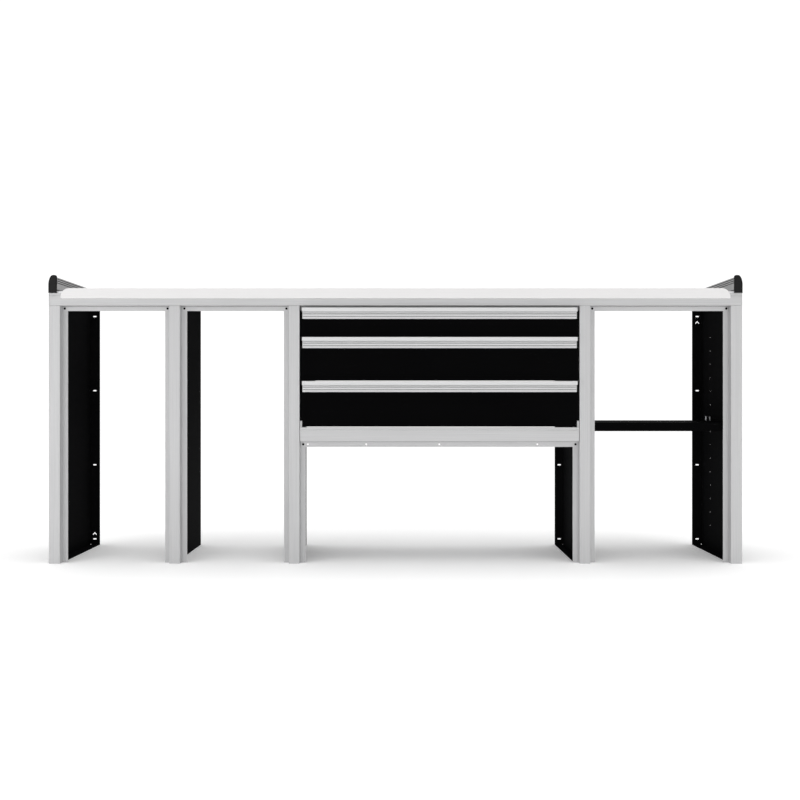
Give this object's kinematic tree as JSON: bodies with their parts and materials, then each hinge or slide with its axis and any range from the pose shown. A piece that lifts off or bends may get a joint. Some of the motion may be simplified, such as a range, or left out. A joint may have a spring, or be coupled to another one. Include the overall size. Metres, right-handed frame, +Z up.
{
  "type": "workbench with drawers",
  "caption": "Long workshop bench on sheet steel side panels with aluminium front posts, a white worktop, a stack of sliding drawers, open bays and an adjustable shelf.",
  "frame": {"origin": "centre of the bounding box on the floor", "axes": "+X along the bench to the user's right as seen from the front, +Y from the front to the back, +Z up"},
  "size_m": [2.383, 0.417, 0.992],
  "materials": {
    "anodised_aluminium": "satin anodised",
    "black_powder_coat": "fine-textured powder coat",
    "white_laminate": "smooth laminate",
    "black_plastic": "moulded, satin gloss",
    "grey_plastic": "moulded, matt",
    "zinc_plated_steel": "bright zinc",
    "grey_sheet_steel": "dark grey powder coat",
    "black_screws": "black oxide"
  },
  "bodies": {
    "frame": {"drawer_1_fixed_runners": "zinc_plated_steel", "drawer_2_fixed_runners": "zinc_plated_steel", "drawer_3_fixed_runners": "zinc_plated_steel", "drawer_bay_left_panel": "black_powder_coat", "drawer_bay_lower_rail": "anodised_aluminium", "drawer_bay_rear_tie": "grey_sheet_steel", "drawer_bay_right_panel": "black_powder_coat", "end_rail_left": "anodised_aluminium", "end_rail_left_front_cap": "black_plastic", "end_rail_left_rear_cap": "black_plastic", "end_rail_right": "anodised_aluminium", "end_rail_right_front_cap": "black_plastic", "end_rail_right_rear_cap": "black_plastic", "frame_screws": "black_screws", "front_post_1": "anodised_aluminium", "front_post_2": "anodised_aluminium", "front_post_3": "anodised_aluminium", "front_post_4": "anodised_aluminium", "front_post_5": "anodised_aluminium", "front_top_rail": "anodised_aluminium", "left_divider_panel": "black_powder_coat", "left_end_panel": "black_powder_coat", "lower_rail_corner_blocks": "grey_plastic", "rear_top_rail": "grey_sheet_steel", "right_end_panel": "black_powder_coat", "runner_carrier_left": "grey_sheet_steel", "runner_carrier_right": "grey_sheet_steel", "shelf": "black_powder_coat", "shelf_clips": "zinc_plated_steel", "top_rail_end_plates": "grey_plastic", "worktop_board": "white_laminate", "worktop_nosing": "white_laminate"},
    "drawer_1": {"drawer_1_box": "grey_sheet_steel", "drawer_1_front": "black_powder_coat", "drawer_1_handle": "anodised_aluminium", "drawer_1_handle_ends": "grey_plastic", "drawer_1_inner_runners": "zinc_plated_steel"},
    "drawer_1_runner_slides": {"drawer_1_middle_runners": "zinc_plated_steel"},
    "drawer_2": {"drawer_2_box": "grey_sheet_steel", "drawer_2_front": "black_powder_coat", "drawer_2_handle": "anodised_aluminium", "drawer_2_handle_ends": "grey_plastic", "drawer_2_inner_runners": "zinc_plated_steel"},
    "drawer_2_runner_slides": {"drawer_2_middle_runners": "zinc_plated_steel"},
    "drawer_3": {"drawer_3_box": "grey_sheet_steel", "drawer_3_front": "black_powder_coat", "drawer_3_handle": "anodised_aluminium", "drawer_3_handle_ends": "grey_plastic", "drawer_3_inner_runners": "zinc_plated_steel"},
    "drawer_3_runner_slides": {"drawer_3_middle_runners": "zinc_plated_steel"}
  },
  "joints": [
    {"name": "drawer_1_slide", "type": "slide", "parent": "frame", "child": "drawer_1", "axis": [0, -1, 0], "range_m": [0, 0.33]},
    {"name": "drawer_1_runner_travel", "type": "slide", "parent": "frame", "child": "drawer_1_runner_slides", "axis": [0, -1, 0], "range_m": [0, 0.165]},
    {"name": "drawer_2_slide", "type": "slide", "parent": "frame", "child": "drawer_2", "axis": [0, -1, 0], "range_m": [0, 0.33]},
    {"name": "drawer_2_runner_travel", "type": "slide", "parent": "frame", "child": "drawer_2_runner_slides", "axis": [0, -1, 0], "range_m": [0, 0.165]},
    {"name": "drawer_3_slide", "type": "slide", "parent": "frame", "child": "drawer_3", "axis": [0, -1, 0], "range_m": [0, 0.33]},
    {"name": "drawer_3_runner_travel", "type": "slide", "parent": "frame", "child": "drawer_3_runner_slides", "axis": [0, -1, 0], "range_m": [0, 0.165]}
  ],
  "couplings": [
    {"joint": "drawer_1_runner_travel", "follows": "drawer_1_slide", "ratio": 0.5},
    {"joint": "drawer_2_runner_travel", "follows": "drawer_2_slide", "ratio": 0.5},
    {"joint": "drawer_3_runner_travel", "follows": "drawer_3_slide", "ratio": 0.5}
  ]
}
